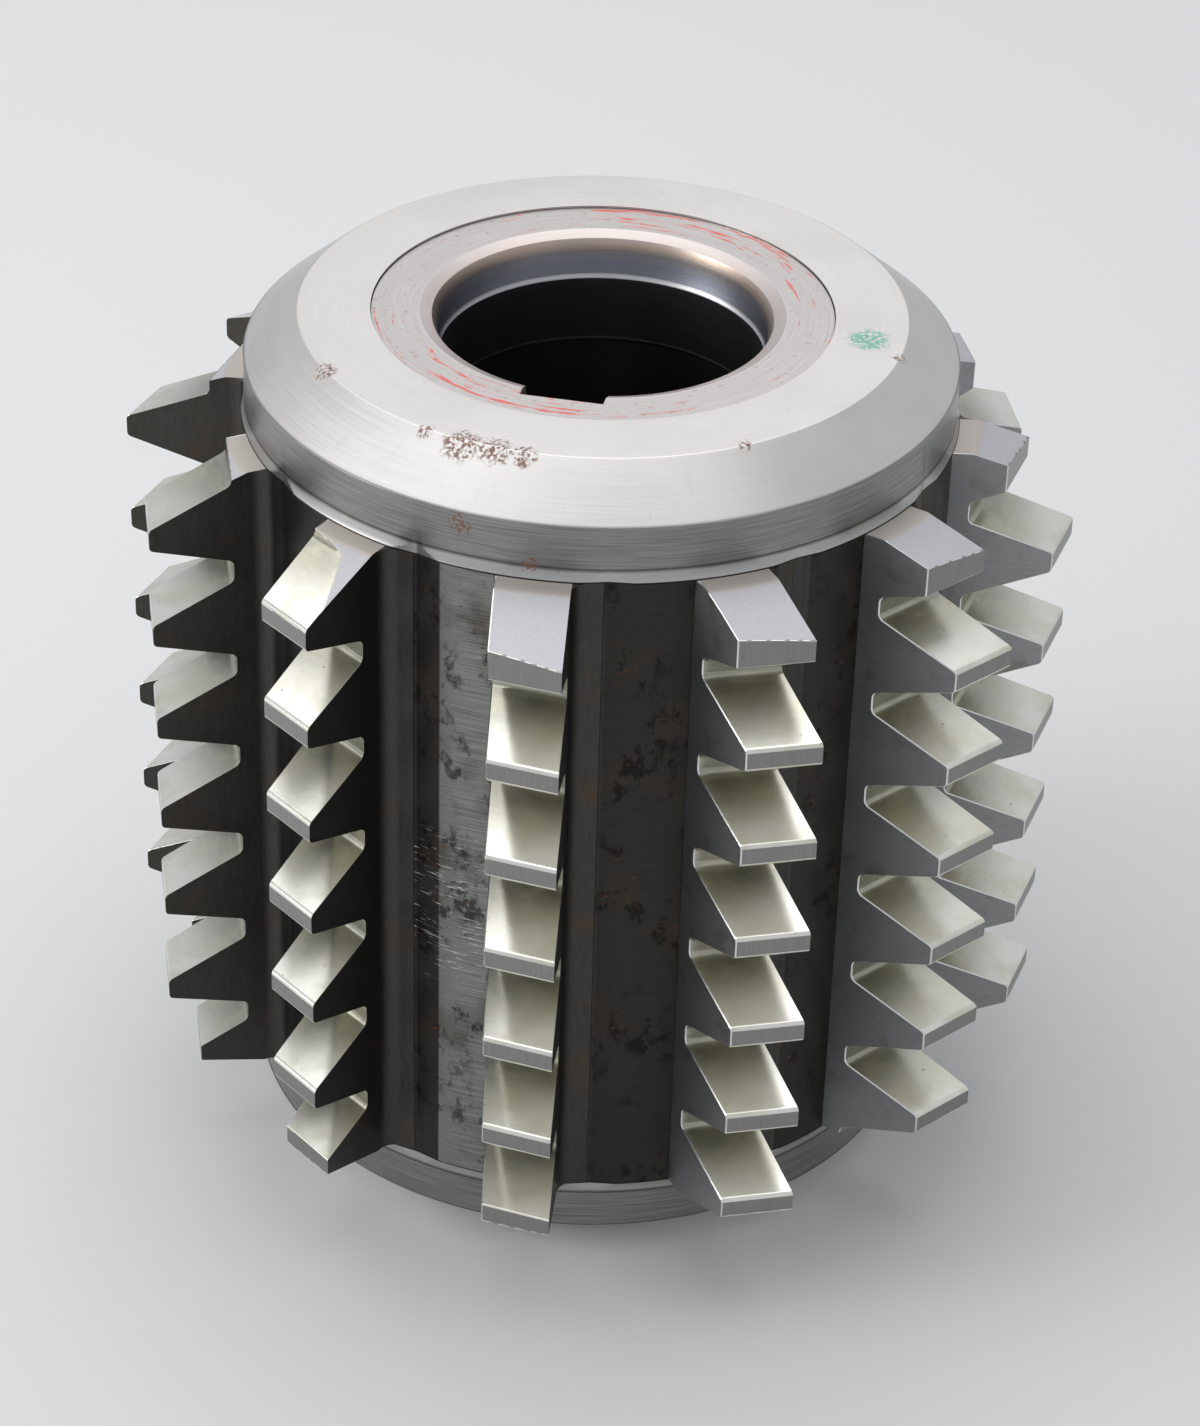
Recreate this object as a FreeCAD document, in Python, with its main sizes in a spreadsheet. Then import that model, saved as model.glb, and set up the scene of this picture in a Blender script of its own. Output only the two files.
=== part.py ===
"""Inserted-rack gear hob: a slotted core body, twelve relieved tooth racks and two end rings.

Frame: millimetres, +Z along the arbor, origin in the middle of the lower end face.
One gash bottom lies exactly on -Y; the racks are numbered from the one behind that gash,
anticlockwise seen from above, which is also the way the right-hand thread climbs.
"""
import FreeCAD
import Part
import math
import os
import re
import Sketcher

V = FreeCAD.Vector
doc = FreeCAD.newDocument("GearHob")

# ---------------------------------------------------------------- driving sizes
SIZES = [
    # whole tool
    ("overall_length", 114.0, "end face to end face, rings included"),
    ("land_radius", 44.4, "webs between the racks; rings, gashes and teeth follow it"),
    ("tooth_reach", 15.1, "cutting edges above the lands"),
    ("rack_count", 12, "tooth racks, and so gashes"),
    # thread and tooth form
    ("tooth_module", 4.25, "axial pitch is pi times this"),
    ("pressure_angle", 20.0, "flank angle, degrees"),
    ("addendum_factor", 1.25, "tip above the pitch line, in modules"),
    ("dedendum_factor", 1.25, "root below the pitch line, in modules"),
    ("relief_angle", 17.4, "fall of the tips behind the cutting edge, degrees"),
    ("tip_rounding", 0.7, "radius of the tooth tip corners"),
    ("root_fillet", 1.0, "radius in the tooth root"),
    # end rings
    ("ring_height", 12.6, "end face to rack shoulder"),
    ("ring_band_step", 0.4, "proof band below the lands"),
    ("ring_chamfer_width", 6.7, "proof band to the edge of the flat end face"),
    ("ring_chamfer_height", 5.5, "axial height of the large chamfer"),
    ("ring_width", 16.1, "lands to the ring bore, which fits the hub spigot"),
    ("ring_flare_height", 1.7, "rim that flares out from the proof band to the lands"),
    ("flange_thickness", 6.0, "end face to the inside of the ring"),
    ("skirt_depth", 5.9, "lands to the ring skirt, shrunk over webs and rack tenons"),
    # body
    ("slot_depth", 12.4, "rack slots, from the lands"),
    ("hub_recess", 0.3, "hub end below the ring face"),
    ("bore_radius", 20.0, "fit on the arbor"),
    ("bore_land_end", 14.6, "end of the bore land, from the hub end face"),
    ("bore_relief", 0.8, "middle of the bore, deeper than its lands"),
    ("entry_radius", 22.4, "rim of the bore"),
    ("lead_in_radius", 20.3, "short lead-in ahead of the bore land"),
    ("lead_in_depth", 5.8, "end of the lead-in, from the end face"),
    ("keyway_width", 10.0, ""),
    ("keyway_floor", 23.5, "keyway bottom, from the axis"),
    ("keyway_angle", -103.2, "keyway centre, degrees from +X"),
    # racks, measured from the plane of their cutting faces
    ("rack_thickness", 12.6, "across the slot"),
    ("rack_front", 3.6, "slot wall ahead of the cutting face, at the land"),
    ("slot_tilt", 2.0, "lean of the slot walls, degrees"),
    ("slot_clearance", 0.03, "each side of a rack"),
    ("end_cone_rise", 2.35, "foot of the coned rack end above the lands"),
    ("end_cone_angle", 17.0, "degrees from a flat end face"),
    ("top_end_land", 2.8, "tip land kept on a tooth that the upper cone cuts into"),
    ("bottom_end_land", 2.3, "the same at the lower cone"),
    # gash, measured from the same plane
    ("gash_corner_rise", 0.1, "floor and cutting face would meet this far above the lands"),
    ("gash_fillet", 2.2, "radius between floor and cutting face"),
    ("gash_depth_line", 4.06, "deepest line, ahead of the cutting face"),
    ("gash_floor_drop", 0.65, "deepest line, below the lands"),
    ("gash_run_out", 7.7, "edge of the gash on the land"),
]
sheet = doc.addObject("Spreadsheet::Sheet", "Sizes")
for row, (alias, size, note) in enumerate(SIZES, start=1):
    sheet.set(f"A{row}", alias)
    sheet.set(f"B{row}", str(size))
    sheet.set(f"C{row}", note)
    sheet.setAlias(f"B{row}", alias)
doc.recompute()

ALIASES = re.compile(r"\b(" + "|".join(alias for alias, _, _ in SIZES) + r")\b")
OVERRUN = 4.0    # how far cutting outlines reach past the metal


def bound(text):
    """An expression in plain size names, with each name pointed at its cell."""
    return ALIASES.sub(r"Sizes.\1", text)


def number(text):
    """Present value of such an expression."""
    value = sheet.evalExpression(bound(text))
    return float(getattr(value, "Value", value))


def bind(feature, place, text, unit="mm"):
    """Tie one property of a feature to an expression in size names."""
    feature.setExpression(place, f"({bound(text)}) * 1 {unit}")


# ---------------------------------------------------------------- derived lengths, as expressions
TIP_RADIUS = "(land_radius + tooth_reach)"
BAND_RADIUS = "(land_radius - ring_band_step)"
CONE_RADIUS = "(land_radius + end_cone_rise)"
RING_BORE = "(land_radius - ring_width)"
SKIRT_RADIUS = "(land_radius - skirt_depth)"
SLOT_FLOOR = "(land_radius - slot_depth)"
PITCH = "(pi * tooth_module)"
FLANK = "tan(pressure_angle * 1 deg)"
ROOT_RADIUS = f"({TIP_RADIUS} - (addendum_factor + dedendum_factor) * tooth_module)"
TIP_HALF = f"({PITCH} / 4 - addendum_factor * tooth_module * {FLANK})"
GASH_CORNER = "(land_radius + gash_corner_rise)"
GASH_FLOOR = "(land_radius - gash_floor_drop)"
GASH_ANGLE = f"(atan(gash_depth_line / {GASH_FLOOR}) / 1 deg)"
MIDDLE = "(overall_length / 2)"


def inward(end, text):
    """Height of a place given by its distance in from one end face."""
    return f"({text})" if end == "bottom" else f"(overall_length - ({text}))"


def rounding(centre, radius, first, last, flats=2):
    """Corners of a rounding made of short flats, as (x, y) expressions.

    `centre` is the middle of the true radius; the angles, in degrees, run from one tangent
    point to the other.
    """
    angles = [f"(({first}) + (({last}) - ({first})) * {step / flats}) * 1 deg" for step in range(flats + 1)]
    return [(f"{centre[0]} + {radius} * cos({angle})", f"{centre[1]} + {radius} * sin({angle})")
            for angle in angles]


# ---------------------------------------------------------------- modelling helpers
def new_body(label):
    body = doc.addObject("PartDesign::Body", label)
    body.Label = label
    return body


def origin_feature(body, role):
    return next(item for item in body.Origin.OriginFeatures if item.Role == role)


def new_sketch(body, name, role, turn="0", lift="0"):
    """Sketch on an origin plane, turned about Z by `turn` degrees and lifted along its normal."""
    sketch = body.newObject("Sketcher::SketchObject", name)
    sketch.AttachmentSupport = [(origin_feature(body, role), "")]
    sketch.MapMode = "FlatFace"
    axis = V(0, 1, 0) if role == "XZ_Plane" else V(0, 0, 1)
    sketch.AttachmentOffset = FreeCAD.Placement(V(0, 0, number(lift)), FreeCAD.Rotation(axis, number(turn)))
    bind(sketch, "AttachmentOffset.Rotation.Angle", turn, "deg")
    bind(sketch, "AttachmentOffset.Base.z", lift)
    return sketch


def draw(sketch, corners):
    """Closed outline through corners (x, y) or (x, y, radius).

    A radius makes the side that starts at that corner an arc: plus turns left, minus right.
    Every corner and radius stays bound to the sizes.
    """
    ends = []
    places = [V(number(corner[0]), number(corner[1]), 0) for corner in corners]
    for here, corner in enumerate(corners):
        start, stop = places[here], places[(here + 1) % len(places)]
        if len(corner) == 2:
            sketch.addGeometry(Part.LineSegment(start, stop), False)
            ends.append((1, 2))
            continue
        radius = abs(number(corner[2]))
        left = not corner[2].startswith("-")
        chord = stop - start
        normal = V(-chord.y, chord.x, 0).normalize() * (1 if left else -1)
        centre = (start + stop) * 0.5 + normal * math.sqrt(max(radius ** 2 - chord.Length ** 2 / 4, 0))
        first, last = (start, stop) if left else (stop, start)
        angles = [math.atan2(spot.y - centre.y, spot.x - centre.x) for spot in (first, last)]
        sketch.addGeometry(Part.ArcOfCircle(Part.Circle(centre, V(0, 0, 1), radius), *angles), False)
        ends.append((1, 2) if left else (2, 1))
    for here in range(len(corners)):
        after = (here + 1) % len(corners)
        sketch.addConstraint(Sketcher.Constraint("Coincident", here, ends[here][1], after, ends[after][0]))
    for here, corner in enumerate(corners):
        for kind, text, value in zip(("DistanceX", "DistanceY"), corner, (places[here].x, places[here].y)):
            index = sketch.addConstraint(Sketcher.Constraint(kind, -1, 1, here, ends[here][0], value))
            bind(sketch, f"Constraints[{index}]", text)
        if len(corner) == 3:
            size = corner[2].lstrip("-")
            index = sketch.addConstraint(Sketcher.Constraint("Radius", here, number(size)))
            bind(sketch, f"Constraints[{index}]", size)
    return sketch


def revolve(body, kind, name, sketch):
    """Full turn of a sketch about Z, added (Revolution) or cut away (Groove)."""
    feature = body.newObject(f"PartDesign::{kind}", name)
    feature.Profile = sketch
    feature.ReferenceAxis = (sketch, ["V_Axis"])
    feature.Angle = 360
    sketch.Visibility = False
    return feature


def cut_through(body, name, sketch):
    """Pocket right through, both ways from its sketch."""
    feature = body.newObject("PartDesign::Pocket", name)
    feature.Profile = sketch
    feature.Type = "ThroughAll"
    feature.Midplane = True
    return feature


def repeat_round(body, name, features):
    """The features, once for each rack."""
    feature = body.newObject("PartDesign::PolarPattern", name)
    feature.Originals = features
    feature.Axis = (origin_feature(body, "Z_Axis"), [""])
    feature.Angle = 360
    feature.Occurrences = int(number("rack_count"))
    feature.setExpression("Occurrences", bound("rack_count"))
    body.Tip = feature
    return feature


# ---------------------------------------------------------------- outlines shared by several pieces
FLOOR_LEAN = "(atan((gash_corner_rise + gash_floor_drop) / gash_depth_line) / 1 deg)"
FILLET_REACH = f"(gash_fillet / tan((90 + {FLOOR_LEAN}) / 2 * 1 deg))"


def gash_corners(fillet=True):
    """Chip gash in the frame of a rack: X out along the cutting face, Y ahead of it.

    The flat cutting face runs down into a fillet, the shallow floor falls to its deepest
    line and then rises again until it runs out on the land of the web. The nick that it
    leaves in an end ring is too shallow to reach the fillet.
    """
    land_edge = "sqrt(land_radius ^ 2 - gash_run_out ^ 2)"
    rise = f"(({land_edge} - {GASH_FLOOR}) / (gash_run_out - gash_depth_line))"
    far = f"{TIP_RADIUS} + {OVERRUN}"
    corner = [(GASH_CORNER, "0")]
    if fillet:
        corner = [
            (f"{GASH_CORNER} + {FILLET_REACH}", "0", "-gash_fillet"),
            (f"{GASH_CORNER} - {FILLET_REACH} * sin({FLOOR_LEAN} * 1 deg)",
             f"{FILLET_REACH} * cos({FLOOR_LEAN} * 1 deg)"),
        ]
    return [
        (far, "0"),
        *corner,
        (GASH_FLOOR, "gash_depth_line"),
        (f"{GASH_FLOOR} + {rise} * (gash_run_out - gash_depth_line + {OVERRUN})", f"gash_run_out + {OVERRUN}"),
        (far, f"gash_run_out + {OVERRUN} + 2"),
    ]


def slot_wall(side, height, clearance):
    """Y of a slot wall at some height: the front wall or the one behind the rack."""
    foot = "rack_front" if side == "front" else "(rack_front - rack_thickness)"
    sign = "+" if side == "front" else "-"
    return f"({foot} {sign} {clearance} + ({height} - land_radius) * tan(slot_tilt * 1 deg))"


# The first rack's cutting face stands this far round from +X, so that its gash is on -Y.
FIRST_FACE = f"(-90 - {GASH_ANGLE})"


# ---------------------------------------------------------------- end rings
def end_ring(label, end):
    """Shrunk-on ring: flat face, broad chamfer, proof band, flared rim, skirt over the tenons."""
    body = new_body(label)
    section = [
        (RING_BORE, "0"),
        (f"{BAND_RADIUS} - ring_chamfer_width", "0"),
        (BAND_RADIUS, "ring_chamfer_height"),
        (BAND_RADIUS, "ring_height - ring_flare_height"),
        ("land_radius", "ring_height"),
        (SKIRT_RADIUS, "ring_height"),
        (SKIRT_RADIUS, "flange_thickness"),
        (RING_BORE, "flange_thickness"),
    ]
    section = [(radius, inward(end, depth)) for radius, depth in section]
    revolve(body, "Revolution", label + "_turning", draw(new_sketch(body, label + "_section", "XZ_Plane"), section))
    gash = new_sketch(body, label + "_gash", "XY_Plane", turn=FIRST_FACE)
    nick = cut_through(body, label + "_nick", draw(gash, gash_corners(fillet=False)))
    repeat_round(body, label + "_nicks", [nick])
    return body


# ---------------------------------------------------------------- core body
def core_body():
    """Core: hub spigots, webs between the slots, a relieved bore and its keyway."""
    body = new_body("hob_body")
    entry = "(entry_radius - lead_in_radius)"
    lead_in_step = "(lead_in_radius - bore_radius)"
    half = [
        ("land_radius", "ring_height"),
        (SKIRT_RADIUS, "ring_height"),
        (SKIRT_RADIUS, "flange_thickness"),
        (RING_BORE, "flange_thickness"),
        (RING_BORE, "hub_recess"),
        *rounding(("entry_radius", f"hub_recess + {entry}"), entry, "-90", "-180"),
        ("lead_in_radius", "lead_in_depth"),
        ("bore_radius", f"lead_in_depth + {lead_in_step}"),
        ("bore_radius", "bore_land_end"),
        ("bore_radius + bore_relief", "bore_land_end + bore_relief"),
    ]
    section = [(radius, inward("bottom", depth)) for radius, depth in half]
    section += [(radius, inward("top", depth)) for radius, depth in half[::-1]]
    revolve(body, "Revolution", "core_turning", draw(new_sketch(body, "core_section", "XZ_Plane"), section))

    keyway = [
        ("0", "-keyway_width / 2"), ("keyway_floor", "-keyway_width / 2"),
        ("keyway_floor", "keyway_width / 2"), ("0", "keyway_width / 2"),
    ]
    cut_through(body, "keyway", draw(new_sketch(body, "keyway_section", "XY_Plane", turn="keyway_angle"), keyway))

    top = f"(land_radius + {OVERRUN})"
    slot = [
        (SLOT_FLOOR, slot_wall("back", SLOT_FLOOR, "slot_clearance")),
        (top, slot_wall("back", top, "slot_clearance")),
        (top, slot_wall("front", top, "slot_clearance")),
        (SLOT_FLOOR, slot_wall("front", SLOT_FLOOR, "slot_clearance")),
    ]
    slot_cut = cut_through(body, "slot",
                           draw(new_sketch(body, "slot_section", "XY_Plane", turn=FIRST_FACE), slot))
    gash_cut = cut_through(body, "web_gash",
                           draw(new_sketch(body, "web_gash_section", "XY_Plane", turn=FIRST_FACE), gash_corners()))
    repeat_round(body, "slots_and_gashes", [slot_cut, gash_cut])
    return body


# ---------------------------------------------------------------- tooth racks
# Behind the cutting face the teeth run straight, falling with the relief and with the thread.
RELIEF = "tan(relief_angle * 1 deg)"
THREAD_FALL = f"({PITCH} / (2 * pi * ({TIP_RADIUS} - addendum_factor * tooth_module)))"
FRONT_REACH = "0.5"
REAR_REACH = f"(rack_thickness - rack_front + {OVERRUN})"


def tip_corner(side, radius=TIP_RADIUS):
    """Where a tip land of this radius at the cutting edge meets the line of a slot wall."""
    reach = f"({slot_wall(side, radius, '0')} / (1 - {RELIEF} * tan(slot_tilt * 1 deg)))"
    return f"({radius} + {RELIEF} * {reach})", reach


def space_corners(behind, middle):
    """One tooth space on the plane `behind` mm behind the cutting face, as (radius, height).

    Straight flanks, rounded tooth tips and root fillets.
    """
    slant = "cos(pressure_angle * 1 deg)"
    root_half = f"({PITCH} / 4 - dedendum_factor * tooth_module * {FLANK})"

    def flank(radius):
        return f"({root_half} + ({radius} - {ROOT_RADIUS}) * {FLANK})"

    tip_centre = f"({TIP_RADIUS} - tip_rounding)"
    tip_height = f"({flank(tip_centre)} + tip_rounding / {slant})"
    root_centre = f"({ROOT_RADIUS} + root_fillet)"
    root_height = f"({flank(root_centre)} - root_fillet / {slant})"
    half = [
        (f"{TIP_RADIUS} + {OVERRUN}", tip_height),
        *rounding((tip_centre, tip_height), "tip_rounding", "0", "pressure_angle - 90"),
        *rounding((root_centre, root_height), "root_fillet", "90 + pressure_angle", "180"),
    ]
    centre = f"({middle} - {THREAD_FALL} * {behind})"
    below = [(f"{radius} - {RELIEF} * {behind}", f"{centre} - ({height})") for radius, height in half]
    above = [(f"{radius} - {RELIEF} * {behind}", f"{centre} + ({height})") for radius, height in half[::-1]]
    return below + above


def end_tooth_radius(end, depth):
    """Tip radius that leaves a sound land on a tooth cut into by the coned rack end."""
    cone = "tan(end_cone_angle * 1 deg)"
    reach = f"{depth} + {TIP_HALF} + {TIP_RADIUS} * {FLANK} + {CONE_RADIUS} * {cone} - {end}_end_land"
    return f"(({reach}) / ({FLANK} + {cone}))"


def tooth_rack(position):
    """One rack: a bar with relieved teeth, staggered along the thread and coned at both ends."""
    count = int(number("rack_count"))
    stagger_steps = position if position < count / 2 else position - count
    stagger = f"({stagger_steps} * {PITCH} / rack_count)"
    name = f"tooth_rack_{position + 1:02d}"
    body = new_body(name)

    bar = [
        (SLOT_FLOOR, slot_wall("back", SLOT_FLOOR, "0")),
        (SLOT_FLOOR, slot_wall("front", SLOT_FLOOR, "0")),
        tip_corner("front"),
        tip_corner("back"),
    ]
    pad = body.newObject("PartDesign::Pad", name + "_bar")
    pad.Profile = draw(new_sketch(body, name + "_bar_section", "XY_Plane", lift="flange_thickness"), bar)
    bind(pad, "Length", "overall_length - 2 * flange_thickness")

    cut_through(body, name + "_gash", draw(new_sketch(body, name + "_gash_section", "XY_Plane"), gash_corners()))

    beyond = f"({TIP_RADIUS} + {OVERRUN})"
    cone_rise = f"({beyond} - {CONE_RADIUS}) * tan(end_cone_angle * 1 deg)"
    for end in ("bottom", "top"):
        tenon = [
            (SKIRT_RADIUS, inward(end, "ring_height")),
            (CONE_RADIUS, inward(end, "ring_height")),
            (beyond, inward(end, f"ring_height + {cone_rise}")),
            (beyond, inward(end, "0")),
            (SKIRT_RADIUS, inward(end, "0")),
        ]
        revolve(body, "Groove", f"{name}_{end}_end",
                draw(new_sketch(body, f"{name}_{end}_end_section", "XZ_Plane"), tenon))

    # enough spaces to run off both ends, however the rack is staggered
    spaces = 2 * math.ceil(number("overall_length / 2 - ring_height") / number(PITCH) + 0.5)
    first = f"({MIDDLE} + {stagger} - {(spaces - 1) / 2} * {PITCH})"
    sections = []
    for place, behind in (("front", f"(-1 * {FRONT_REACH})"), ("rear", REAR_REACH)):
        sketch = new_sketch(body, f"{name}_space_{place}", "XZ_Plane", lift=behind)
        sections.append(draw(sketch, space_corners(behind, first)))
    space = body.newObject("PartDesign::SubtractiveLoft", name + "_space")
    space.Profile = sections[0]
    space.Sections = [sections[1]]
    space.Ruled = True
    teeth = body.newObject("PartDesign::LinearPattern", name + "_teeth")
    teeth.Originals = [space]
    teeth.Direction = (origin_feature(body, "Z_Axis"), [""])
    teeth.Length = (spaces - 1) * number(PITCH)
    teeth.Occurrences = spaces
    body.Tip = teeth

    # the tooth that an end cone cuts into keeps a full land at a smaller radius
    half_face = number("overall_length / 2 - ring_height")
    pitch = number(PITCH)
    for end, way in (("bottom", -1), ("top", 1)):
        offset = way * stagger_steps * pitch / count
        steps_out = math.floor((half_face - offset) / pitch + 0.5)
        depth = f"({MIDDLE} - ring_height - {way} * {stagger} - {steps_out} * {PITCH})"
        radius = end_tooth_radius(end, depth)
        if number(radius) >= number(TIP_RADIUS):
            continue
        reduced = f"max({radius}, {ROOT_RADIUS})"
        outline = [
            tip_corner("front", reduced), (beyond, tip_corner("front", reduced)[1]),
            (beyond, tip_corner("back", reduced)[1]), tip_corner("back", reduced),
        ]
        lowest = f"({depth} + {PITCH} / 2)"
        sketch = new_sketch(body, f"{name}_{end}_tooth_section", "XY_Plane",
                            lift=inward(end, f"ring_height + {lowest}"))
        cut = body.newObject("PartDesign::Pocket", f"{name}_{end}_tooth")
        cut.Profile = draw(sketch, outline)
        cut.Type = "Length"
        cut.Reversed = end == "top"
        bind(cut, "Length", f"ring_height + {lowest}")
        body.Tip = cut

    body.Placement = FreeCAD.Placement(V(0, 0, 0), FreeCAD.Rotation(V(0, 0, 1), 0))
    bind(body, "Placement.Rotation.Angle", f"{FIRST_FACE} + {position} * 360 / rack_count", "deg")
    return body


# ---------------------------------------------------------------- build and write
pieces = [core_body(), end_ring("bottom_end_ring", "bottom"), end_ring("top_end_ring", "top")]
pieces += [tooth_rack(position) for position in range(int(number("rack_count")))]
doc.recompute()

failed = [item.Name for item in doc.Objects if {"Invalid", "Error"} & set(item.State)]
if failed:
    raise RuntimeError("these did not compute: " + ", ".join(failed))
os.makedirs("parts", exist_ok=True)
for piece in pieces:
    shape = piece.Shape
    if shape.isNull() or not shape.isValid() or len(shape.Solids) != 1:
        raise RuntimeError(piece.Label + " is not one sound solid")
    shape.exportStep(f"parts/{piece.Label}.step")
    print(f"{piece.Label}: {shape.Volume / 1000:.2f} cm3, {len(shape.Faces)} faces")
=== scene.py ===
"""Looks of the inserted-rack gear hob: ground steel racks, turned end rings and a slotted body.

Metres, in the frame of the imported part: +Z along the arbor, one gash bottom on -Y.
"""
import math
import bmesh
import bpy
import numpy as np
from mathutils import Matrix


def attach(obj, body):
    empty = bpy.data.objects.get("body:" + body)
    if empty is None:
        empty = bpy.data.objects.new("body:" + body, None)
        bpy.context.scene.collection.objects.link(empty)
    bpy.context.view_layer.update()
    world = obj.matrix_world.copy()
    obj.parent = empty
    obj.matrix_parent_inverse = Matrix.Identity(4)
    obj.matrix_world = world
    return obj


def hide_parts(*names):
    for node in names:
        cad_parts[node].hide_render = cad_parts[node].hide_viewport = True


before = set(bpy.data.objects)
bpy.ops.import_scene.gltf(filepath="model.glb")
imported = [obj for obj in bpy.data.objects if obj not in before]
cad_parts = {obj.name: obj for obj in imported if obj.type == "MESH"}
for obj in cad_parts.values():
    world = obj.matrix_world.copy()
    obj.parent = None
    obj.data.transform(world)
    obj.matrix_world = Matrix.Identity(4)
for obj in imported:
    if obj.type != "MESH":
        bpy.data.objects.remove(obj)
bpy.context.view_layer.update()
MM = 0.001

# ---------------------------------------------------------------- the stand
# A pale bench top under a pale even sky, with broad soft lights overhead and at the left
# and a weak one behind, seen from a little above by a long lens.
camera = bpy.data.objects.new("camera", bpy.data.cameras.new("camera"))
bpy.context.scene.collection.objects.link(camera)
camera.data.lens = 97.12
camera.data.clip_start = 0.01
azimuth, elevation, roll = math.radians(2.045), math.radians(33.2), math.radians(-1.704)
ahead = np.array([math.cos(elevation) * math.sin(azimuth), math.cos(elevation) * math.cos(azimuth),
                  -math.sin(elevation)])
level = np.array([math.cos(azimuth), -math.sin(azimuth), 0])
upright = np.cross(level, ahead)
across = math.cos(roll) * level - math.sin(roll) * upright
above = math.sin(roll) * level + math.cos(roll) * upright
spot = np.array([-13.9, -419.4, 329.5]) * MM
camera.matrix_world = Matrix([[*row, place] for row, place in zip(np.array([across, above, -ahead]).T, spot)]
                             + [[0, 0, 0, 1]])
bpy.context.scene.camera = camera
bpy.context.scene.view_settings.view_transform = "Standard"


class Wire:
    """A shader socket that takes part in arithmetic; each operator adds one Math node."""
    tree = None

    def __init__(self, socket):
        self.socket = socket

    @classmethod
    def node(cls, kind, inputs=None, output=0, stops=None, **settings):
        """Adds a node, sets it up, fills its inputs with numbers or wires, gives one output."""
        made = cls.tree.nodes.new(kind)
        for name, value in settings.items():
            setattr(made, name, value)
        if stops:
            for element, (place, colour) in zip(cls.spread(made.color_ramp.elements, len(stops)), stops):
                element.position = place
                element.color = (*colour, 1)
        for place, value in (inputs or {}).items():
            if isinstance(value, Wire):
                cls.tree.links.new(value.socket, made.inputs[place])
            else:
                made.inputs[place].default_value = value
        return cls(made.outputs[output])

    @staticmethod
    def spread(elements, count):
        while len(elements) < count:
            elements.new(0.5)
        return elements

    def math(self, operation, *others):
        values = dict(enumerate((self, *others)))
        return Wire.node("ShaderNodeMath", values, operation=operation)

    def __add__(self, other):
        return self.math("ADD", other)

    def __mul__(self, other):
        return self.math("MULTIPLY", other)

    def __sub__(self, other):
        return self.math("SUBTRACT", other)

    def __rsub__(self, other):
        return Wire.node("ShaderNodeMath", {0: other, 1: self}, operation="SUBTRACT")

    def __truediv__(self, other):
        return self.math("DIVIDE", other)

    __radd__ = __add__
    __rmul__ = __mul__

    def ramp(self, low, high):
        """0 below low, 1 above high, smooth between; the other way round when low > high."""
        return Wire.node("ShaderNodeMapRange", {0: self, 1: low, 2: high}, interpolation_type="SMOOTHSTEP")


def blend(factor, first, second):
    """Mix of two colours."""
    values = {0: factor, 6: first if isinstance(first, Wire) else (*first, 1),
              7: second if isinstance(second, Wire) else (*second, 1)}
    return Wire.node("ShaderNodeMix", values, output=2, data_type="RGBA")


def noise(vector, scale, detail=3.0, roughness=0.55):
    """Cloud noise; scale counts lumps per metre."""
    values = {"Vector": vector, "Scale": scale, "Detail": detail, "Roughness": roughness}
    return Wire.node("ShaderNodeTexNoise", values)


def stretched(x, y, z):
    """A vector from three wires or numbers, for noise that runs in lines."""
    return Wire.node("ShaderNodeCombineXYZ", {0: x, 1: y, 2: z})


class Steel:
    """One steel finish under construction: places on the piece first, then its look."""

    def __init__(self, name):
        self.material = bpy.data.materials.new(name)
        self.material.use_nodes = True
        Wire.tree = self.material.node_tree
        self.shader = Wire.tree.nodes["Principled BSDF"]
        self.place = Wire.node("ShaderNodeTexCoord", output=3)
        self.x, self.y, self.z = (Wire.node("ShaderNodeSeparateXYZ", {0: self.place}, output=axis)
                                  for axis in range(3))
        self.radius = (self.x * self.x + self.y * self.y).math("SQRT")
        self.turn = self.y.math("ARCTAN2", self.x)

    def near(self, x, y, z, size):
        """1 at a spot, 0 from `size` away, with a ragged edge."""
        gap = Wire.node("ShaderNodeVectorMath", {0: self.place, 1: (x * MM, y * MM, z * MM)},
                        output=1, operation="DISTANCE")
        return (gap + (noise(self.place, 900) - 0.5) * size * MM).ramp(size * MM, size * 0.55 * MM)

    def finish(self, colour, roughness, metallic=1.0, relief=None, height=0.00001):
        values = {"Base Color": colour, "Roughness": roughness, "Metallic": metallic}
        if relief is not None:
            values["Normal"] = Wire.node("ShaderNodeBump",
                                         {"Strength": 1.0, "Distance": height, "Height": relief})
        for socket, value in values.items():
            if isinstance(value, Wire):
                Wire.tree.links.new(value.socket, self.shader.inputs[socket])
            else:
                self.shader.inputs[socket].default_value = (*value, 1) if isinstance(value, tuple) else value
        return self.material


world = bpy.data.worlds.new("studio")
bpy.context.scene.world = world
world.use_nodes = True
Wire.tree = world.node_tree
seen = Wire.node("ShaderNodeLightPath", output=0)
sky = Wire.tree.nodes["Background"]
sky.inputs["Color"].default_value = (0.84, 0.86, 0.90, 1)
Wire.tree.links.new((0.78 + seen * 0.16).socket, sky.inputs["Strength"])


def softbox(name, place, aim, size, power):
    """Square area light turned towards a point."""
    lamp = bpy.data.lights.new(name, "AREA")
    lamp.shape = "SQUARE"
    lamp.size = size
    lamp.energy = power
    rig = bpy.data.objects.new(name, lamp)
    bpy.context.scene.collection.objects.link(rig)
    back = np.subtract(place, aim)
    back = back / np.linalg.norm(back)
    side = np.cross((0, 0.2, 1), back)
    side = side / np.linalg.norm(side)
    axes = np.array([side, np.cross(back, side), back]).T
    rig.matrix_world = Matrix([[*row, where] for row, where in zip(axes, place)] + [[0, 0, 0, 1]])


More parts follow.
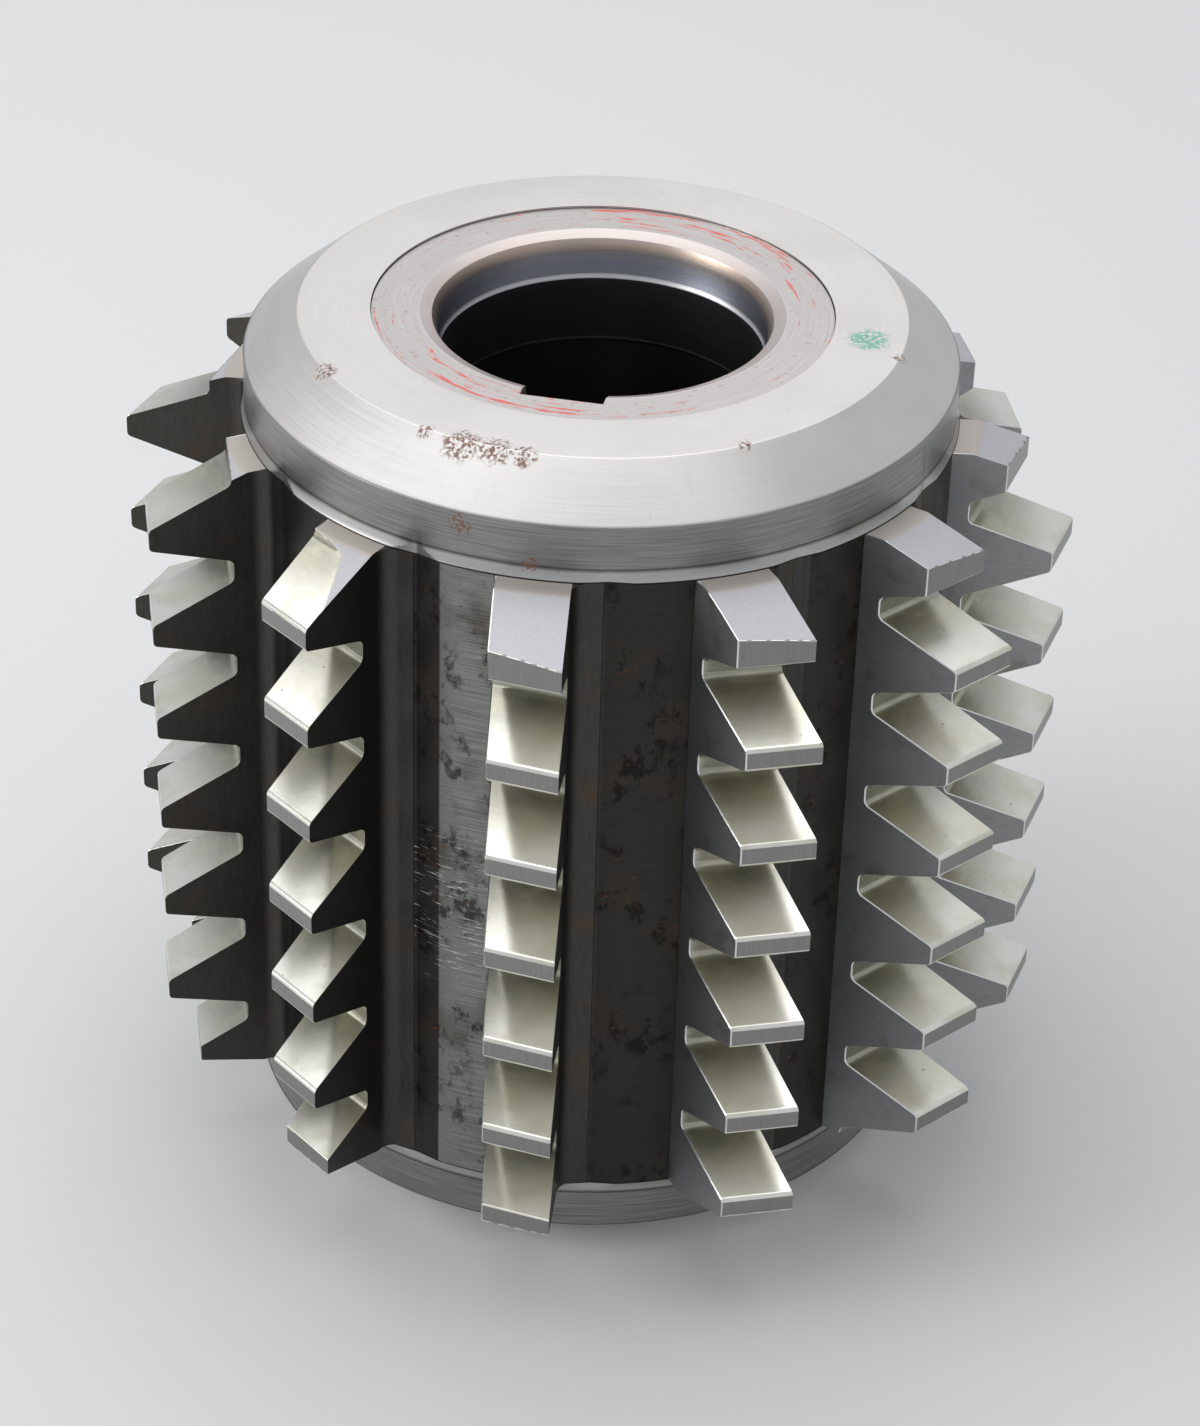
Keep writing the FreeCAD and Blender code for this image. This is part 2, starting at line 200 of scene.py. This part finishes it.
softbox("overhead", (-0.06, 0.14, 0.72), (0, 0.02, 0.10), 0.80, 2.4)
softbox("behind", (0.08, 0.80, 0.58), (0, 0, 0.11), 0.50, 0.35)
softbox("left", (-0.75, -0.15, 0.40), (0, 0, 0.07), 0.40, 3.2)

mesh = bpy.data.meshes.new("bench")
reach = 3.0
mesh.from_pydata([(-reach, -reach, 0), (reach, -reach, 0), (reach, reach, 0), (-reach, reach, 0)],
                 [], [(0, 1, 2, 3)])
bench = bpy.data.objects.new("bench", mesh)
bpy.context.scene.collection.objects.link(bench)
top = Steel("bench_top")
mesh.materials.append(top.finish((0.64, 0.64, 0.635), 0.75, metallic=0.0))


# ---------------------------------------------------------------- hob body
# Core of the tool: a tool-steel drum with twelve tilted slots for the racks, shallow chip
# gashes on the webs between them, and a ground bore that is relieved in the middle.
LAND = 44.4
LENGTH = 114.0
SHOULDER = 12.6
HUB_RADIUS = 28.3
BORE_ENTRY = 22.4
LEAD_IN_END, BORE_LAND_END = 5.8, 14.6


def body_steel():
    """Oiled steel outside, painted dark as a painted reflection of dark surroundings, a pitted hub ring with
    streaks of ink, a heat-tinted bore mouth with painted shade deeper in and painted highlights on two edges
    inside.
    """
    steel = Steel("body_steel")
    rings = noise(stretched(steel.radius * 6500, steel.turn * 2.5, steel.z * 6500), 1.0, 3)
    fine = noise(stretched(steel.radius * 900, steel.turn * 6, steel.z * 14000), 1.0, 4)
    cloud = noise(steel.place, 90, 4)
    spots = noise(steel.place, 1300, 3)
    # webs: oiled, with brown stains, and painted dark as a painted reflection of dark surroundings; the one
    # behind the first rack is painted brighter, partly bare scraped steel and partly a painted reflection of
    # light from the front left
    # painted reflection: the web behind the first rack is lighter, partly bare steel and partly reflected
    # light from the front left
    scraped_and_lit = (steel.turn + 1.940).math("ABSOLUTE").ramp(0.085, 0.078)
    # painted reflection: a very dark base colour stands in for the dark surroundings these faces reflect
    dark = blend(fine, (0.024, 0.023, 0.020), (0.060, 0.058, 0.053))
    bare_and_lit_colour = blend(fine.ramp(0.25, 0.75), (0.12, 0.125, 0.115), (0.34, 0.345, 0.33))
    web = blend(scraped_and_lit * steel.radius.ramp(44.30 * MM, 44.37 * MM), dark, bare_and_lit_colour)
    web = blend(cloud.ramp(0.50, 0.72) * 0.7, web, (0.060, 0.047, 0.034))
    mottle = noise(stretched(steel.x * 420, steel.y * 420, steel.z * 300), 1.0, 6, 0.7)
    web = blend(mottle.ramp(0.52, 0.62) * cloud.ramp(0.40, 0.55) * 0.75, web, (0.014, 0.012, 0.010))
    scratch = noise(stretched(steel.x * 260, steel.y * 260, steel.z * 3600), 1.0, 4, 0.7).ramp(0.60, 0.66)
    web = blend(scratch * steel.near(-17.6, -40.6, 53, 13) * 0.8, web, (0.80, 0.80, 0.78))
    rust = spots.ramp(0.64, 0.72) * cloud.ramp(0.48, 0.60)
    web = blend(rust * 0.8, web, (0.15, 0.06, 0.025))
    # hub ring: grey, pitted, concentric marks, red marking ink smeared in arcs
    hub = blend(rings, (0.40, 0.375, 0.36), (0.62, 0.595, 0.58))
    hub = blend(spots.ramp(0.60, 0.75) * 0.6, hub, (0.27, 0.20, 0.17))
    arcs = noise(stretched(steel.radius * 1100, steel.turn * 2.4, 0.0), 1.0, 5, 0.72)
    where = (steel.turn * 2.0 - 2.0).math("COSINE") * 0.5 + 0.5
    ink = (arcs + where * 0.09).ramp(0.625, 0.67) * steel.radius.ramp(22.9 * MM, 23.6 * MM)
    hub = blend(ink * 0.85, hub, (0.66, 0.08, 0.06))
    # bore: straw and blue heat tint on the rounded mouth, oily steel inside, painted darker deeper in as
    # painted shade in the hole
    depth = (0.5 * LENGTH * MM) - (steel.z - 0.5 * LENGTH * MM).math("ABSOLUTE")
    tint = Wire.node("ShaderNodeValToRGB", {0: (depth / (8.0 * MM)) + (cloud - 0.5) * 0.08},
                     stops=((0.0, (0.62, 0.585, 0.57)), (0.10, (0.60, 0.52, 0.49)),
                            (0.20, (0.55, 0.43, 0.33)), (0.33, (0.36, 0.34, 0.36)),
                            (0.50, (0.20, 0.22, 0.27)), (0.9, (0.13, 0.13, 0.135))))
    bore = blend(rings * 0.3, tint, (0.22, 0.215, 0.21))
    # painted highlights: thin light lines at the lead-in end and the bore land end, where the edges of the
    # steps catch the light
    for edge in (LEAD_IN_END, BORE_LAND_END):
        painted_edge_highlight = (depth - edge * MM).math("ABSOLUTE").ramp(0.35 * MM, 0.1 * MM)
        bore = blend(painted_edge_highlight * 0.6, bore, (0.70, 0.70, 0.70))
    in_bore = steel.radius.ramp((BORE_ENTRY + 0.4) * MM, BORE_ENTRY * MM)
    outside = steel.radius.ramp((HUB_RADIUS + 1) * MM, (HUB_RADIUS + 2) * MM)
    colour = blend(outside, blend(in_bore, hub, bore), web)
    rough = 0.36 + spots * 0.12 + ink * 0.25 - in_bore * 0.04
    return steel.finish(colour, rough, metallic=1.0 - ink * 0.9,
                        relief=rings * 0.5 + spots * 0.3, height=0.00002)


def dressed_copy(node, name, bevel_width, smooth_angle):
    """A CAD node's shape with its doubles merged, its sharp edges broken and its curves smooth."""
    form = bmesh.new()
    form.from_mesh(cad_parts[node].data)
    bmesh.ops.remove_doubles(form, verts=form.verts, dist=0.5e-6)
    bmesh.ops.dissolve_limit(form, angle_limit=math.radians(0.6), verts=form.verts, edges=form.edges)
    copy = bpy.data.meshes.new(name)
    form.to_mesh(copy)
    form.free()
    piece = bpy.data.objects.new(name, copy)
    bpy.context.scene.collection.objects.link(piece)
    bevel = piece.modifiers.new("broken_edges", "BEVEL")
    bevel.width = bevel_width
    bevel.segments = 2
    bevel.limit_method = "ANGLE"
    bevel.angle_limit = math.radians(50)
    bevel.use_clamp_overlap = True
    copy.shade_smooth()
    copy.set_sharp_from_angle(angle=math.radians(smooth_angle))
    return piece


body = dressed_copy("hob_body", "slotted_body", 0.12 * MM, 12)
body.data.materials.clear()
body.data.materials.append(body_steel())
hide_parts("hob_body")
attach(body, "root")

# ---------------------------------------------------------------- end rings
# Each ring is shrunk on over the rack ends. It is turned all over, ground on its face and
# its broad chamfer, and the gash cutter has nicked its band ahead of every rack.
BAND, FACE, RING_BORE, SKIRT = 44.0, 37.3, 28.3, 38.5
CHAMFER_HEIGHT, FLARE_HEIGHT, FLANGE = 5.5, 1.7, 6.0
GASH_FLOOR, GASH_CORNER, DEEPEST, RUN_OUT = 43.75, 44.5, 4.06, 7.7
GASH_LEAN = (GASH_CORNER - GASH_FLOOR) / DEEPEST
OPEN_AIR = 99.0
FIRST_FACE = -math.pi / 2 - math.atan2(DEEPEST, GASH_FLOOR)
RACKS = 12


def gash_reach(turn):
    """Radius of the gash floor in the direction `turn`; far out where there is no gash.

    The floor is two straight lines in the cross-section, so its radius is the polar form
    of a straight line, a / (cos + slope * sin).
    """
    ahead_of_face = np.mod(turn - FIRST_FACE, 2 * math.pi / RACKS)
    rise = (math.sqrt(LAND ** 2 - RUN_OUT ** 2) - GASH_FLOOR) / (RUN_OUT - DEEPEST)
    near = GASH_CORNER / (np.cos(ahead_of_face) + GASH_LEAN * np.sin(ahead_of_face))
    far = (GASH_FLOOR - rise * DEEPEST) / (np.cos(ahead_of_face) - rise * np.sin(ahead_of_face))
    floor = np.where(ahead_of_face < math.atan2(DEEPEST, GASH_FLOOR), near, far)
    return np.where(ahead_of_face < math.asin(RUN_OUT / LAND), floor, OPEN_AIR)


def softened(corners, radius, steps=9):
    """Closed outline with each corner replaced by a short curve (quadratic Bezier)."""
    corners = np.array(corners, float)
    before = np.roll(corners, 1, 0) - corners
    after = np.roll(corners, -1, 0) - corners
    start = corners + before / np.linalg.norm(before, axis=1)[:, None] * radius
    end = corners + after / np.linalg.norm(after, axis=1)[:, None] * radius
    t = np.linspace(0, 1, steps + 1)[None, :, None]
    curve = (1 - t) ** 2 * start[:, None] + 2 * t * (1 - t) * corners[:, None] + t ** 2 * end[:, None]
    return curve.reshape(-1, 2)


def quilt(name, grid, closed_rows):
    """Mesh over a grid of points (rows, columns, 3) that closes along its columns.

    With closed_rows the last row joins the first as well; otherwise each end gets one cap.
    """
    rows, columns = grid.shape[:2]
    number = np.arange(rows * columns).reshape(rows, columns)
    right = np.roll(number, -1, 1)
    up, up_right = (np.roll(n, -1, 0) for n in (number, right))
    quads = np.stack([number, right, up_right, up], -1)
    if not closed_rows:
        quads = quads[:-1]
    faces = quads.reshape(-1, 4).tolist()
    if not closed_rows:
        faces += [number[0, ::-1].tolist(), number[-1].tolist()]
    skin = bpy.data.meshes.new(name)
    skin.from_pydata((grid.reshape(-1, 3) * MM).tolist(), [], faces)
    piece = bpy.data.objects.new(name, skin)
    bpy.context.scene.collection.objects.link(piece)
    return piece


def shade(piece, angle):
    piece.data.shade_smooth()
    piece.data.set_sharp_from_angle(angle=math.radians(angle))


def ring_steel():
    """Ground face and chamfer with faint circular lines, a darker streaked band, rust, ink dab."""
    steel = Steel("ring_steel")
    lines = noise(stretched(steel.radius * 5200, steel.turn * 2.2, steel.z * 5200), 1.0, 4, 0.6)
    cross = noise(stretched(steel.radius * 260, steel.turn * 60, steel.z * 260), 1.0, 3)
    cloud = noise(steel.place, 45, 4)
    specks = noise(steel.place, 1500, 2)
    base = blend(lines, (0.58, 0.562, 0.54), (0.70, 0.682, 0.66))
    base = blend(cloud.ramp(0.42, 0.72) * 0.45, base, (0.54, 0.51, 0.47))
    base = blend(cross.ramp(0.62, 0.8) * 0.35, base, (0.46, 0.44, 0.41))
    on_band = steel.radius.ramp(43.6 * MM, 43.9 * MM)
    streak = noise(stretched(steel.turn * 4, steel.z * 5200, 0.0), 1.0, 5, 0.65)
    band = blend(streak.ramp(0.35, 0.65), (0.20, 0.20, 0.195), (0.31, 0.31, 0.30))
    from_joint = (0.5 * LENGTH - SHOULDER) * MM - (steel.z - 0.5 * LENGTH * MM).math("ABSOLUTE")
    band = blend((from_joint + 1.7 * MM).math("ABSOLUTE").ramp(0.25 * MM, 0.0), band, (0.10, 0.10, 0.095))
    band = blend(from_joint.ramp(-1.5 * MM, -1.2 * MM), band, (0.46, 0.46, 0.45))
    band = blend(from_joint.ramp(-0.22 * MM, -0.10 * MM), band, (0.02, 0.018, 0.015))
    base = blend(on_band, base, band)
    stain = specks.ramp(0.73, 0.80) * cloud.ramp(0.45, 0.6)
    for x, y, z, size in ((-33.2, -17.0, 114, 0.9), (-21.1, -31.0, 113.8, 0.6), (-16.9, -33.7, 113.7, 1.3),
                          (-13.1, -35.1, 113.9, 1.1), (-9.7, -36.4, 113.7, 0.8), (15.6, -33.6, 114, 0.5),
                          (35.3, -12.1, 114, 0.5), (-17.0, -40.6, 106.9, 0.9), (-9.0, -43.1, 103.2, 0.6)):
        ragged = noise(steel.place, 2200, 2).ramp(0.42, 0.60)
        stain = stain.math("MAXIMUM", steel.near(x, y, z, size * 2.2) * ragged)
    base = blend(stain * 0.9, base, (0.17, 0.07, 0.035))
    dab = steel.near(31.8, -7.6, 114.0, 3.0) * noise(steel.place, 1700, 3).ramp(0.38, 0.52)
    base = blend(dab * 0.8, base, (0.08, 0.36, 0.25))
    rough = 0.33 + lines * 0.12 - on_band * 0.06 + stain * 0.3 + dab * 0.2
    return steel.finish(base, rough, metallic=1.0 - (stain.math("MAXIMUM", dab)) * 0.85,
                        relief=lines * 0.7 + specks * 0.2, height=0.000012)


ring_finish = ring_steel()
hollow = ((LAND - BAND) ** 2 + FLARE_HEIGHT ** 2) / (2 * (LAND - BAND))
flare_turn = np.linspace(0, math.asin(FLARE_HEIGHT / hollow), 9)
flare = np.stack([BAND + hollow * (1 - np.cos(flare_turn)),
                  SHOULDER - FLARE_HEIGHT + hollow * np.sin(flare_turn)], 1)
# a column of points stands where the nick crosses each circle of the flare
fine_turns = np.linspace(0, 0.18, 20001)
under = gash_reach(FIRST_FACE + fine_turns)[:, None] < flare[:, 0]
nick_edges = np.concatenate([fine_turns[under.argmax(0)], fine_turns[len(under) - 1 - under[::-1].argmax(0)]])
one_gash = np.unique(np.concatenate([np.linspace(0, 2 * math.pi / RACKS, 31)[:-1], nick_edges,
                                     [math.atan2(DEEPEST, GASH_FLOOR), math.asin(RUN_OUT / LAND)]]))
turns = FIRST_FACE + (np.arange(RACKS)[:, None] * 2 * math.pi / RACKS + one_gash).ravel()
ring_outline = np.concatenate([softened([(RING_BORE, 0), (FACE, 0), (BAND, CHAMFER_HEIGHT)], 0.14), flare,
                               [(SKIRT, SHOULDER), (SKIRT, FLANGE), (RING_BORE, FLANGE)]])
for end, base_height, way in (("bottom", 0.0, 1), ("top", LENGTH, -1)):
    radius = np.minimum(ring_outline[:, :1], gash_reach(turns)[None, :])
    radius = np.where(ring_outline[:, :1] > SKIRT + 1, radius, ring_outline[:, :1])
    height = np.broadcast_to(base_height + way * ring_outline[:, 1:], radius.shape)
    grid = np.stack([radius * np.cos(turns), radius * np.sin(turns), height], -1)
    ring = quilt(f"{end}_ring", grid[::-way], closed_rows=True)
    shade(ring, 5)
    ring.data.materials.append(ring_finish)
    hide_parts(f"{end}_end_ring")
    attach(ring, "root")

# ---------------------------------------------------------------- tooth racks
# Twelve high-speed-steel racks, each one bar with ground teeth. A tooth falls away behind
# its cutting face, follows the thread down, and is rounded at tip and root. Both ends are
# turned to a cone, so the first tooth there is cut away, and the next is lower.
MODULE, PRESSURE = 4.25, math.radians(20)
PITCH = math.pi * MODULE
TIP = LAND + 15.1
ROOT = TIP - 2.5 * MODULE
TIP_HALF = PITCH / 4 - 1.25 * MODULE * math.tan(PRESSURE)
TIP_ROUNDING, ROOT_FILLET = 0.7, 1.0
RELIEF = math.tan(math.radians(17.4))
THREAD_FALL = PITCH / (2 * math.pi * (TIP - 1.25 * MODULE))
THICKNESS, FRONT_WALL, SLOT_FLOOR = 12.6, 3.6, 32.0
SLOT_TILT = math.tan(math.radians(2))
CONE_FOOT, CONE_SLOPE = LAND + 2.35, math.tan(math.radians(17))
END_LAND = {"bottom": 2.3, "top": 2.8}
GASH_FILLET = 2.2
EDGE_BREAK, FACE_BREAK = 0.12, 0.035
CONE_RUN, THREAD_STARTS = 5.2, 4.2  # above the shoulder: last of the cone, first that follows the thread


def half_tooth(tip):
    """Outline from the middle of a tooth tip to the middle of the root: height, radius.

    Arcs touch the straight flank: the tip arc is centred one radius inside both tip and
    flank, the root arc one radius outside both.
    """
    tilt = math.tan(PRESSURE)
    wide = TIP_HALF + (TIP - tip) * tilt
    rounding = TIP_ROUNDING if tip >= TIP else 0.25
    turn = np.linspace(0, math.pi / 2 - PRESSURE, 7)
    crest = (wide + rounding * tilt - rounding / math.cos(PRESSURE) + rounding * np.sin(turn),
             tip - rounding + rounding * np.cos(turn))
    hollow = (wide + (tip - ROOT - ROOT_FILLET) * tilt + ROOT_FILLET / math.cos(PRESSURE)
              - ROOT_FILLET * np.sin(turn[::-1]),
              ROOT + ROOT_FILLET - ROOT_FILLET * np.cos(turn[::-1]))
    return np.concatenate([crest, hollow], 1)


def toothed_edge(middle):
    """Heights and radii of the whole toothed edge of a rack whose middle tooth is at `middle`.

    The cone leaves no sound tip land on the outermost tooth, so that tooth gets a smaller
    tip radius: the one at which flank, land and cone line close up.
    """
    heights, radii = [], []
    for tooth in range(-6, 7):
        centre = middle + tooth * PITCH
        tip = TIP
        for end, gap in (("bottom", centre - SHOULDER), ("top", LENGTH - SHOULDER - centre)):
            land_here = (gap + TIP_HALF + TIP * math.tan(PRESSURE) + CONE_FOOT * CONE_SLOPE - END_LAND[end])
            if gap > -PITCH / 2:
                tip = min(tip, max(land_here / (math.tan(PRESSURE) + CONE_SLOPE), ROOT + 0.01))
        height, radius = half_tooth(tip)
        if tip <= ROOT + 1.5:
            height, radius = np.array([0.0, PITCH / 2]), np.array([ROOT, ROOT])
        heights += [centre - height[::-1], centre + height]
        radii += [radius[::-1], radius]
    return np.concatenate(heights), np.concatenate(radii)


def inset(heights, radii, depth):
    """The same edge moved into the metal by `depth`, along its own normal."""
    along = np.gradient(np.stack([heights, radii]), axis=1)
    along = along / np.maximum(np.linalg.norm(along, axis=0), 1e-9)
    return heights + along[1] * depth, radii - along[0] * depth


def rack_grid(steps):
    """Points of a rack standing on +X, (sections along the bar, places round the section, 3),
    and how deep the turned ends cut into it at each point.

    Round the section: slot floor, heel wall, across the teeth, cutting face, gash floor,
    front wall. Every point is drawn in to the turned tenon or cone at the rack's ends.
    """
    edge = toothed_edge(LENGTH / 2 + steps * PITCH / RACKS)
    ends = SHOULDER + np.arange(0, CONE_RUN, 0.13)
    knots = np.unique(np.round(np.concatenate([edge[0], ends, LENGTH - ends, edge[0] + 0.02]), 3))
    knots = knots[(knots > SHOULDER + 1e-3) & (knots < LENGTH - SHOULDER - 1e-3)]
    stations = np.concatenate([[FLANGE, SHOULDER, SHOULDER], knots,
                               [LENGTH - SHOULDER] * 2, [LENGTH - FLANGE]])
    tenon = np.zeros(len(stations), bool)
    tenon[[0, 1, -2, -1]] = True
    inner = np.minimum(stations - SHOULDER, LENGTH - SHOULDER - stations)
    follows = np.clip((inner - THREAD_STARTS) / 2.0, 0, 1)

    def wall(x, foot):
        return foot + (x - LAND) * SLOT_TILT

    def widest(y, z, tenon):
        """Largest x at which the turned tenon or the coned end still lets metal stand."""
        cone = CONE_FOOT + np.minimum(z - SHOULDER, LENGTH - SHOULDER - z).clip(0) / CONE_SLOPE
        return np.sqrt(np.where(tenon, SKIRT, cone) ** 2 - y ** 2)

    columns = []
    shares = [0.0, 0.004, *np.linspace(0.1, 1 - EDGE_BREAK / 8.6, 12), 1.0][::-1]
    for share in shares:
        depth = {0.0: FACE_BREAK, 1.0: EDGE_BREAK}.get(share, 0)
        heights, radii = inset(*edge, depth) if depth else edge
        y = share * wall(TIP - 3, FRONT_WALL - THICKNESS) * np.ones(len(stations))
        for _ in range(3):
            z = stations + THREAD_FALL * y * follows
            x = np.interp(z - THREAD_FALL * y, heights, radii) + RELIEF * y
            y = share * wall(x, FRONT_WALL - THICKNESS)
        over = x - widest(y, z, tenon)
        crossing = np.flatnonzero((over[:-1] * over[1:] < 0) & ~tenon[:-1] & ~tenon[1:])
        part = over[crossing] / (over[crossing] - over[crossing + 1])
        nearest = crossing + (part > 0.5)
        z[nearest] = z[crossing] + part * (z[crossing + 1] - z[crossing])
        x[nearest] = x[crossing] + part * (x[crossing + 1] - x[crossing])
        over[nearest] = 0
        columns.append((x, y, z, over))
    heel = columns[0]
    lean = math.atan(GASH_LEAN)
    reach = GASH_FILLET / math.tan((math.pi / 2 + lean) / 2)
    sweep = np.linspace(math.pi / 2, math.pi - lean, 7)
    fillet = [(GASH_CORNER + reach + GASH_FILLET * math.cos(turn), GASH_FILLET * (1 - math.sin(turn)))
              for turn in sweep]
    lip = GASH_CORNER - FRONT_WALL * math.tan(lean)
    front = [*fillet, (lip, wall(lip, FRONT_WALL)), (SLOT_FLOOR, wall(SLOT_FLOOR, FRONT_WALL))]
    deep = np.full(len(stations), SLOT_FLOOR)
    none = np.full(len(stations), -1.0)
    columns.insert(0, (deep, wall(deep, FRONT_WALL - THICKNESS), heel[2], none))
    columns += [(np.full(len(stations), x), np.full(len(stations), y), stations, none) for x, y in front]
    grid = np.stack([np.stack(column, -1) for column in columns], 1)
    over = np.where(tenon[:, None], 1.0, grid[..., 3])
    grid[..., 0] = np.minimum(grid[..., 0], widest(grid[..., 1], grid[..., 2], tenon[:, None]))
    return grid[..., :3], over, len(shares)


def flank_steel():
    """Profile-ground flanks: silvery with an olive film and fine lines, with painted shade darkening them
    towards the root for the shadow and reflection of the tooth above.

    Where the turned cone cuts in, the surface is as hardened: matte lilac grey, beige at the foot.
    """
    steel = Steel("flank_steel")
    cloud = noise(steel.place, 160, 3)
    lines = noise(stretched(steel.radius * 700, steel.turn * 14, steel.z * 3500), 1.0, 3)
    specks = noise(steel.place, 1500, 2)
    # painted shade: the flank is darker towards the root, standing in for the shadow and reflection of the
    # tooth above
    out = steel.radius.ramp(48.5 * MM, 57.5 * MM)
    base = blend(out, (0.27, 0.265, 0.215), (0.80, 0.785, 0.72))
    base = blend(cloud.ramp(0.40, 0.70) * 0.55, base, (0.52, 0.51, 0.36))
    base = blend(lines * 0.25, base, (0.80, 0.79, 0.74))
    base = blend(specks.ramp(0.71, 0.78) * 0.8, base, (0.20, 0.10, 0.05))
    grain = noise(steel.place, 2500, 3)
    turned = blend(grain, (0.42, 0.415, 0.435), (0.52, 0.515, 0.53))
    turned = blend(steel.radius.ramp(47.6 * MM, 46.9 * MM) * 0.7, turned, (0.46, 0.41, 0.35))
    cone = Wire.node("ShaderNodeAttribute", output=2, attribute_name="cone_depth").ramp(0.02, 0.16)
    base = blend(cone, base, turned)
    rough = 0.16 + cloud * 0.10 + cone * 0.34
    return steel.finish(base, rough, metallic=1.0 - cone * 0.25,
                        relief=lines + cone * (grain - lines), height=0.000003)


def land_steel():
    """Ground tip lands, plainer than the flanks, painted darker as a painted reflection of dark surroundings.
    """
    steel = Steel("land_steel")
    lines = noise(stretched(steel.radius * 400, steel.turn * 300, steel.z * 400), 1.0, 3)
    # painted reflection: dark grey stands in for the dark surroundings these steep faces reflect
    base = blend(lines, (0.20, 0.205, 0.20), (0.30, 0.30, 0.285))
    base = blend(noise(steel.place, 1400, 2).ramp(0.70, 0.78) * 0.7, base, (0.16, 0.09, 0.05))
    return steel.finish(base, 0.26 + lines * 0.10)


def edge_steel():
    """Narrow bright break along the edges behind the teeth."""
    steel = Steel("edge_steel")
    wear = noise(steel.place, 700, 2)
    return steel.finish(blend(wear, (0.60, 0.60, 0.58), (0.85, 0.85, 0.83)), 0.22)


def heel_steel():
    """Side of the bar behind the teeth: blue-grey, ground flat, dull with oil."""
    steel = Steel("heel_steel")
    grain = noise(stretched(steel.x * 700, steel.y * 700, steel.z * 4500), 1.0, 3)
    base = blend(grain, (0.25, 0.255, 0.26), (0.38, 0.385, 0.39))
    base = blend(noise(steel.place, 220, 4).ramp(0.55, 0.75) * 0.5, base, (0.17, 0.14, 0.10))
    return steel.finish(base, 0.42 + grain * 0.10, relief=grain, height=0.000005)


def face_steel():
    """Cutting face and gash: fine-ground, with patches of brown film, painted near black as a painted
    reflection of dark surroundings.
    """
    steel = Steel("face_steel")
    grain = noise(stretched(steel.x * 2600, steel.y * 2600, steel.z * 500), 1.0, 3)
    # painted reflection: the near-black base colour stands in for the dark surroundings these faces reflect
    base = blend(grain, (0.045, 0.043, 0.038), (0.085, 0.082, 0.074))
    base = blend(noise(steel.place, 150, 4).ramp(0.55, 0.75) * 0.5, base, (0.10, 0.065, 0.04))
    return steel.finish(base, 0.34 + grain * 0.10, relief=grain, height=0.000004)


rack_finishes = [heel_steel(), edge_steel(), flank_steel(), face_steel(), land_steel()]
HEEL, EDGE, FLANK, GASHED, TIP_LAND = range(5)
for position in range(RACKS):
    steps = position if position < RACKS / 2 else position - RACKS
    grid, over, across_teeth = rack_grid(steps)
    rows, places = grid.shape[:2]
    kind = np.full((rows - 1, places), GASHED)
    kind[:, 0] = kind[:, -1] = HEEL
    kind[:, 1] = EDGE
    teeth = slice(2, across_teeth)
    kind[:, teeth] = FLANK
    flat = np.abs(np.diff(grid[:, :, 0], axis=0)) < 0.2 * np.abs(np.diff(grid[:, :, 2], axis=0))
    high = (grid[:-1, :, 0] - RELIEF * grid[:-1, :, 1]) > ROOT + 3
    kind[:, teeth][(flat & high & (over[:-1] < 0))[:, teeth]] = TIP_LAND
    turn = FIRST_FACE + position * 2 * math.pi / RACKS
    spin = np.array([[math.cos(turn), math.sin(turn), 0], [-math.sin(turn), math.cos(turn), 0], [0, 0, 1]])
    rack = quilt(f"rack_{position + 1:02d}", grid @ spin, closed_rows=False)
    for finish in rack_finishes:
        rack.data.materials.append(finish)
    kinds = np.concatenate([kind.ravel(), [HEEL, HEEL]]).astype(np.int32)
    rack.data.polygons.foreach_set("material_index", kinds)
    depth = rack.data.attributes.new("cone_depth", "FLOAT", "POINT")
    depth.data.foreach_set("value", over.ravel().astype(np.float32))
    shade(rack, 32)
    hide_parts(f"tooth_rack_{position + 1:02d}")
    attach(rack, "root")

bpy.context.view_layer.update()
